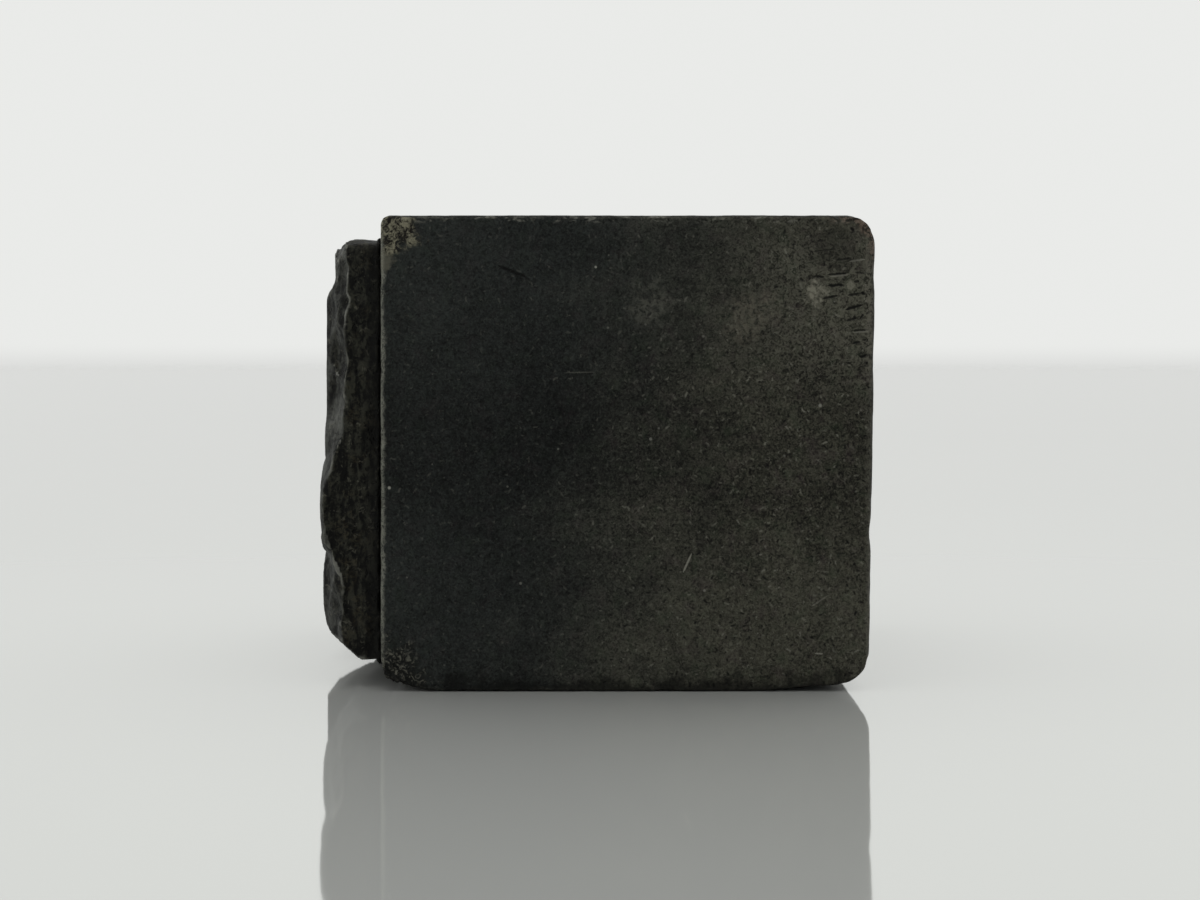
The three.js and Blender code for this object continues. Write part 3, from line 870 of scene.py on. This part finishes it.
def add_strokes_and_pits(face, colour):
    """Short strokes on every face, hammer marks on the struck end, pits, and bright grains.

    Gives the colour, and how deep the strokes and pits are.
    """
    place, grain, warm = face.place, face.grain, face.warm
    on_side = face.depth_gap.ramp(0.5, 0.25)
    end_gap = (face.x - face.low.x).lesser(face.high.x - face.x)
    on_end = end_gap.ramp(0.3, 0.15) * (1.0 - on_side)
    run = on_end.between(face.x, face.z)
    rise = on_side.between(face.y, face.z)

    flecks = place.noise(6.0, detail=2.0, roughness=0.6, distortion=1.8, seed=20.0).ramp(0.6, 0.74)
    colour = (flecks * (warm * 0.22 + 0.06)).tint(colour, PALE_FLECK)
    long_pale = dashes(run, rise, scale=1.5, half_length=0.17, width=0.06, seed=6.0)
    short_pale = dashes(run, rise, scale=3.0, half_length=0.1, width=0.055, seed=7.0)
    pale = long_pale.greater(short_pale * 0.8) * grain.ramp(0.36, 0.56)
    colour = (pale * (warm * 0.5 + 0.18)).tint(colour, PALE_STROKE)
    long_dark = dashes(run, rise, scale=2.0, half_length=0.14, width=0.06, seed=21.0)
    short_dark = dashes(run, rise, scale=3.2, half_length=0.1, width=0.055, seed=22.0)
    dark = long_dark.greater(short_dark)
    colour = (dark * (warm * 0.4 + 0.5)).tint(colour, SOOT)

    blows = place.noise(0.4, detail=4.0, roughness=0.6, distortion=0.6, seed=29.0).ramp(0.48, 0.62)
    blows = blows * on_end * face.x.above(0.0)
    colour = (blows * (grain.ramp(0.35, 0.6) * 0.4 + 0.15)).tint(colour, HAMMERED_STEEL)

    pitted = near_spot(face, PITTED_PLACE, radius=5.8, ragged=0.5, scale=0.4, seed=4.0)
    pit_gap, pit_pick = place.scaled((0.7, 1.0, 1.2)).cells(2.4, seed=3.0)
    pits = (pit_gap + (grain - 0.5) * 0.25).ramp(0.24, 0.12)
    pits = pits * pit_pick.ramp(0.4, 0.8) * (pitted * 0.9 + 0.1)
    colour = (pits * 0.5).tint(colour, SOOT)
    colour = (pale_specks(face) * 0.75).tint(colour, BRIGHT_GRAIN)
    return colour, pits * 2.0 + dark


def add_single_marks(face, colour):
    """A gouge, the bites of a vice's jaw, scratches and spots on the near face.

    Gives the colour, and how deep the gouge and the bites are.
    """
    place, grain, near_face = face.place, face.grain, face.near_face
    waver_x = face.x + (place.noise(2.2, detail=2.0, seed=15.0) - 0.5) * 0.16
    waver_z = face.z + (place.noise(2.6, detail=3.0, roughness=0.6, seed=17.0) - 0.5) * 0.11
    gouge = stroke(waver_x, waver_z, *GOUGE) * near_face * grain.ramp(0.3, 0.45)
    bites = strokes_of(waver_x, waver_z, JAW_BITES) * near_face
    scratches = strokes_of(face.x, face.z, SCRATCHES) * near_face
    jaw_height = face.z.ramp(11.0, 15.0) * face.z.ramp(19.6, 18.4)
    jaw_mark = face.x.ramp(4.0, 9.5) * jaw_height * near_face
    colour = (jaw_mark * grain.ramp(0.4, 0.6) * 0.3).tint(colour, JAW_RUBBED_STEEL)
    colour = (gouge * 0.9).tint(colour, SOOT)
    colour = (bites * 0.95).tint(colour, SOOT)
    colour = scratches.tint(colour, SCRATCHED_STEEL)

    dapple = place.noise(4.2, detail=3.0, roughness=0.65, distortion=0.6, seed=9.0)
    dapple = dapple.ramp(0.38, 0.62)
    brown = near_spot(face, BROWN_SPOT_PLACE, radius=1.3, ragged=1.0, scale=0.9, seed=7.0) * dapple
    grey = near_spot(face, GREY_SPOT_PLACE, radius=1.1, ragged=1.0, scale=1.2, seed=8.0) * dapple
    pale = near_spot(face, PALE_SPOT_PLACE, radius=0.6, ragged=1.0, scale=2.8, seed=6.0)
    small = near_spot(face, SMALL_SPOT_PLACE, radius=0.22, ragged=1.0, scale=3.4, seed=16.0)
    colour = (brown * 0.38).tint(colour, BROWN_SPOT)
    colour = (grey * 0.4).tint(colour, GREY_SPOT)
    colour = ((pale * (dapple * 0.7 + 0.2) + small * 0.5) * 0.85).tint(colour, PALE_SPOT)
    return colour, (gouge + bites) * 1.4


def add_rubbed_edges(face, colour):
    """Edges rubbed to paler metal, with a painted highlight brightest along the die end and a
    paler struck-end edge that is partly painted highlight, and flaked under the upper edge.

    Gives the colour, and where the edges are rubbed.
    """
    grain, rub = face.grain, face.rub
    edge_gap = face.side_gap.greater(face.depth_gap) + (rub - 0.5) * 0.6
    struck_gap = face.high.x - face.x + (rub - 0.5) * 0.3
    rubbed = edge_gap.ramp(0.22, 0.0) * grain.ramp(0.34, 0.56) * struck_gap.ramp(0.0, 0.5)
    colour = (rubbed * 0.4).tint(colour, RUBBED_EDGE)
    # Painted highlight: a pale line on the rounded edge at the die end, where the edge catches
    # light
    die_gap = face.x - face.low.x + (rub - 0.5) * 0.5 + (grain - 0.5) * 0.5
    die_edge_highlight = die_gap.ramp(0.27, 0.12) * face.depth_gap.ramp(0.6, 0.3)
    colour = (die_edge_highlight * (grain.ramp(0.36, 0.54) * 0.6 + 0.2)).tint(colour, DIE_EDGE_HIGHLIGHT)
    # Paler edge at the struck end: partly rubbed metal, partly a painted highlight on its rounded
    # edge
    at_side = face.depth_gap.ramp(0.9, 0.4)
    struck_edge_wear_and_highlight = struck_gap.ramp(0.5, 0.36) * struck_gap.ramp(0.12, 0.24) * at_side
    struck_edge_wear_and_highlight = struck_edge_wear_and_highlight * grain.ramp(0.34, 0.5) * (face.z.ramp(12.0, 16.0) * 0.3 + 0.2)
    colour = struck_edge_wear_and_highlight.tint(colour, STRUCK_EDGE_WEAR_AND_HIGHLIGHT)
    colour = (struck_gap.ramp(0.16, 0.06) * at_side * 0.5).tint(colour, STRUCK_RIM)
    stretched = face.place.scaled((0.7, 1.0, 1.6))
    flake = stretched.noise(2.4, detail=3.0, roughness=0.6, distortion=0.4, seed=18.0)
    flakes = (face.high.z - face.z).ramp(0.42, 0.2) * face.near_face * flake.ramp(0.55, 0.66)
    return (flakes * 0.6).tint(colour, FLAKED_STEEL), rubbed


def add_crusts_and_stains(face, colour):
    """Crusted corners, and darker bands along the foot and the upper edge.

    Gives the colour, and how far the crusts stand out.
    """
    place, low, high = face.place, face.low, face.high
    crust_grain = place.noise(4.0, detail=3.0, roughness=0.68, distortion=0.9, seed=12.0)

    upper_place = (low.x + 0.6, high.z - 0.6)
    upper_crust = near_spot(face, upper_place, radius=1.2, ragged=1.0, scale=1.7, seed=10.0)
    upper_colour = crust_grain.ramp(0.4, 0.62).tint(YELLOW_CRUST_HOLLOW, YELLOW_CRUST)
    colour = (upper_crust * 0.85).tint(colour, upper_colour)
    lower_place = (low.x + 0.6, low.z + 0.9)
    lower_crust = near_spot(face, lower_place, radius=1.6, ragged=0.7, scale=1.8, seed=11.0)
    lower_colour = crust_grain.ramp(0.5, 0.66).tint(FOOT_CRUST_HOLLOW, FOOT_CRUST)
    colour = (lower_crust * 0.6).tint(colour, lower_colour)
    patch_place = (low.x + 0.2, high.z - 1.95)
    edge_patch = near_spot(face, patch_place, radius=0.5, ragged=0.8, scale=2.6, seed=19.0)
    colour = (edge_patch * 0.5).tint(colour, EDGE_PATCH)

    dark_patch = near_spot(face, DARK_PATCH_PLACE, radius=1.3, ragged=0.6, scale=1.2, seed=30.0)
    colour = (dark_patch * face.near_face * 0.4).tint(colour, DARK_PATCH)
    struck_place = (high.x - 0.3, high.z - 0.4)
    struck_corner = near_spot(face, struck_place, radius=1.9, ragged=0.4, scale=2.0, seed=14.0)
    struck_crust = struck_corner * (face.side_gap + (face.rub - 0.5) * 0.6).ramp(0.5, 0.2)
    struck_colour = crust_grain.ramp(0.44, 0.58).tint(RUDDY_CRUST_HOLLOW, RUDDY_CRUST)
    colour = (struck_crust * 0.75).tint(colour, struck_colour)

    foot = place.noise(1.3, detail=3.0, roughness=0.65, seed=13.0)
    worn_end = face.x.ramp(high.x - 5.5, high.x - 0.5) * STRUCK_END_FOOT_WEAR
    # Darker along the foot and along the upper edge
    dark_foot_band = (face.z - worn_end + (foot - 0.5) * 2.2).ramp(0.8, 0.1)
    dark_top_band = (high.z - face.z + (foot - 0.5) * 0.3).ramp(0.14, 0.06)
    colour = (dark_foot_band.greater(dark_top_band) * 0.75).tint(colour, SOOT)
    return colour, crust_grain * (upper_crust + lower_crust * 0.7)


def blackened_block_steel():
    material, place = new_finish("blackened_block_steel")
    face = BlockFace(place)
    colour = block_patina(face)
    colour, sunk = add_strokes_and_pits(face, colour)
    colour, cut = add_single_marks(face, colour)
    colour, rubbed = add_rubbed_edges(face, colour)
    colour, crusted = add_crusts_and_stains(face, colour)
    roughness = (face.grain - 0.5) * 0.4 + (face.mottle - 0.5) * 0.2 + 0.56 - rubbed * 0.12
    height = face.grain * 0.9 + face.speckle * 0.4 + face.mottle * 0.3 + crusted - sunk - cut
    looks = {"metallic": 0.35, "bump_depth": 0.035, "gloss": 0.2}
    return end_finish(material, place, colour, roughness, height, **looks)


def stored(place, name):
    """A number that the die's own mesh holds at each point."""
    return place.node("ShaderNodeAttribute", {"attribute_name": name}, None, "Fac")


def hewn_die_steel():
    _, high = marks_box("rosette_die")
    material, place = new_finish("hewn_die_steel")
    x, _, _ = place.parts()
    ridge = stored(place, RIDGE_ATTRIBUTE)
    slope = stored(place, SLOPE_ATTRIBUTE)
    land = stored(place, LAND_ATTRIBUTE)

    # Streaked walls with a little rust, and paler slopes, partly painted light, with a painted
    # highlight on some facets
    drawn = place.scaled((1.0, 1.0, 0.35))
    mottle = place.noise(1.2, detail=4.0, roughness=0.6, distortion=0.6, seed=21.0)
    streak = drawn.noise(3.6, detail=3.0, roughness=0.6, distortion=0.5, seed=22.0)
    grain = place.noise(5.0, detail=3.0, roughness=0.7, distortion=1.0, seed=23.0)
    shade = (grain - 0.5) * 2.0 + (streak - 0.5) * 3.2 + (mottle - 0.5) * 1.8 + 0.42
    wall_colour = shade.ramp(0.0, 1.0).tint(WALL_BLACK, WALL_BROWN)
    rust = place.noise(0.9, detail=4.0, roughness=0.65, distortion=0.6, seed=24.0).ramp(0.5, 0.66)
    wall_colour = (rust * grain.ramp(0.4, 0.6) * 0.3).tint(wall_colour, RUST)
    # Slopes paler than walls: partly a real difference, partly painted light on faces turned
    # towards the light
    slope_colour = shade.ramp(-0.2, 1.2).tint(SLOPE_BLACK, SLOPE_GREY)
    # Painted highlight: some facets made brighter in colour, standing in for the light they catch
    painted_facet_light = greatest([
        spot(place, centre, radius, ragged=0.5, scale=1.2, seed=27.0)
        for centre, radius in PAINTED_LIT_FACETS
    ])
    slope_colour = (painted_facet_light * (grain.ramp(0.3, 0.6) * 0.4 + 0.15)).tint(slope_colour, PAINTED_FACET_LIGHT)
    colour = slope.tint(wall_colour, slope_colour)

    # Flecks, pits, painted shade along the seam, bared ridges partly painted as highlights, dark
    # hollows and worn lands
    flecks = place.noise(3.4, detail=3.0, roughness=0.6, distortion=0.5, seed=25.0).ramp(0.6, 0.7)
    colour = (flecks * 0.35).tint(colour, DIE_FLECK)
    pits = place.noise(3.0, detail=2.0, roughness=0.6, distortion=0.6, seed=26.0).ramp(0.42, 0.34)
    colour = (pits * (0.8 - slope * 0.4)).tint(colour, WALL_BLACK)
    # Painted shade: the die is darkened towards the seam, where the inner corner between die and
    # block is in shade
    seam_shade = x.ramp(high.x - 0.9, high.x - 0.1)
    colour = (seam_shade * 0.7).tint(colour, SEAM_SHADE)
    clear_of_block = x.ramp(high.x - 0.3, high.x - 0.7)
    bared = place.noise(0.7, detail=3.0, roughness=0.6, distortion=0.5, seed=28.0).ramp(0.4, 0.6)
    # Ridges paler: partly worn bare metal, partly a painted highlight along their edges
    worn = (ridge + (mottle - 0.5) * 0.06).ramp(0.02, 0.05)
    worn = worn * clear_of_block * (bared * 0.85 + 0.15)
    colour = (worn * 0.65).tint(colour, RIDGE_WEAR_AND_HIGHLIGHT)
    colour = (ridge.ramp(-0.012, -0.05) * 0.6).tint(colour, DARK_HOLLOW)
    colour = (land * (grain.ramp(0.3, 0.55) * 0.4 + 0.2)).tint(colour, WORN_LAND)
    roughness = (grain - 0.5) * 0.3 + 0.56 - worn * 0.15 - land * 0.1
    height = grain * 0.6 + streak * 0.7 + mottle * 0.3 + flecks * 0.4 - pits * 0.8
    looks = {"metallic": 0.45, "bump_depth": 0.04, "gloss": 0.3}
    return end_finish(material, place, colour, roughness, height, **looks)


def dull_braze():
    material, place = new_finish("dull_braze")
    mottle = place.noise(2.0, detail=4.0, roughness=0.6, distortion=0.3, seed=31.0)
    grain = place.noise(9.0, detail=3.0, roughness=0.6, distortion=0.3, seed=32.0)
    colour = mottle.ramp(0.35, 0.65).tint(DARK_BRAZE, YELLOW_BRAZE)
    colour = (grain.ramp(0.45, 0.3) * 0.5).tint(colour, BRAZE_TARNISH)
    roughness = grain * 0.3 + 0.45
    height = grain + mottle
    return end_finish(material, place, colour, roughness, height, metallic=0.7, bump_depth=0.02)


def ground_dowel_steel():
    material, place = new_finish("ground_dowel_steel")
    rings = place.scaled((12.0, 0.6, 0.6)).noise(1.0, seed=41.0)
    haze = place.noise(1.2, detail=3.0, roughness=0.6, seed=42.0)
    colour = haze.ramp(0.3, 0.7).tint(DOWEL_GREY, DOWEL_BRIGHT)
    roughness = rings * 0.2 + 0.25
    return end_finish(material, place, colour, roughness, rings, metallic=1.0, bump_depth=0.005)


# Studio


def floor_finish():
    material, place = new_finish("pale_floor")
    x, y, _ = place.parts()
    far = (x * x + y * y).root()
    haze = place.noise(0.02, seed=51.0)
    colour = haze.tint(FLOOR_DARKER, FLOOR_PALER)
    values = {"Base Color": colour, "Roughness": FLOOR_ROUGHNESS, "Metallic": FLOOR_POLISH}
    surface = place.node("ShaderNodeBsdfPrincipled", None, values)
    clear = place.node("ShaderNodeBsdfTransparent")
    fade = far.ramp(FLOOR_FADE_START, FLOOR_RADIUS)
    mixed = place.node("ShaderNodeMixShader", None, {0: fade, 1: surface, 2: clear})
    leave = material.node_tree.nodes.new("ShaderNodeOutputMaterial")
    material.node_tree.links.new(mixed.socket, leave.inputs["Surface"])
    return material


def lay_floor():
    disc = bmesh.new()
    bmesh.ops.create_circle(disc, cap_ends=True, segments=96, radius=FLOOR_RADIUS * MM)
    mesh = bpy.data.meshes.new("floor")
    disc.to_mesh(mesh)
    disc.free()
    mesh.materials.append(floor_finish())
    add_piece("floor", mesh)


def light_studio():
    """Soft light all round: bright behind and to the left, dim on the camera's side."""
    world = bpy.data.worlds.new("soft_studio")
    bpy.context.scene.world = world
    world.use_nodes = True
    world.node_tree.nodes.clear()
    start = Wire(world.node_tree)
    x, y, z = start.node("ShaderNodeTexCoord", None, None, "Generated").parts()
    behind = y.ramp(-0.3, 0.7)
    leftward = x.ramp(-0.1, -0.9)
    overhead = z.ramp(0.35, 0.95)
    back_glow = z.ramp(0.0, 0.25).between(BACK_GLOW_AT_FLOOR, BACK_GLOW)
    glow = behind.between(FRONT_GLOW, back_glow)
    glow = overhead.between(glow, OVERHEAD_GLOW)
    glow = leftward.between(glow, LEFT_GLOW)
    seen = start.node("ShaderNodeLightPath", None, None, "Is Camera Ray")
    backdrop = z.ramp(-0.017, 0.0).between(BACKDROP_GLOW_AT_FLOOR, BACKDROP_GLOW)
    strength = seen.between(glow, backdrop)
    sky = start.node("ShaderNodeBackground", None, {"Color": SKY_COLOUR, "Strength": strength})
    leave = world.node_tree.nodes.new("ShaderNodeOutputWorld")
    world.node_tree.links.new(sky.socket, leave.inputs["Surface"])
    bpy.context.scene.view_settings.view_transform = "Standard"


def place_camera():
    data = bpy.data.cameras.new("photo_camera")
    data.sensor_width = SENSOR_WIDTH
    data.lens = FOCAL_PIXELS / IMAGE_WIDTH * SENSOR_WIDTH
    data.shift_y = -HORIZON_RISE_PIXELS / IMAGE_WIDTH
    data.clip_start = 0.005
    data.clip_end = 10.0
    camera = bpy.data.objects.new("photo_camera", data)
    camera.location = Vector(CAMERA_PLACE) * MM
    camera.rotation_euler = (math.radians(90), 0.0, 0.0)
    bpy.context.scene.collection.objects.link(camera)
    bpy.context.scene.camera = camera


def coat(node, finish):
    """Gives a CAD node that stays in view its finish."""
    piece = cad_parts[node]
    piece.data.materials.clear()
    piece.data.materials.append(finish)


make_worn_block(blackened_block_steel())
make_hewn_die(hewn_die_steel())
coat("braze_film", dull_braze())
dowel_finish = ground_dowel_steel()
coat("dowel_pin_front", dowel_finish)
coat("dowel_pin_back", dowel_finish)
lay_floor()
light_studio()
place_camera()
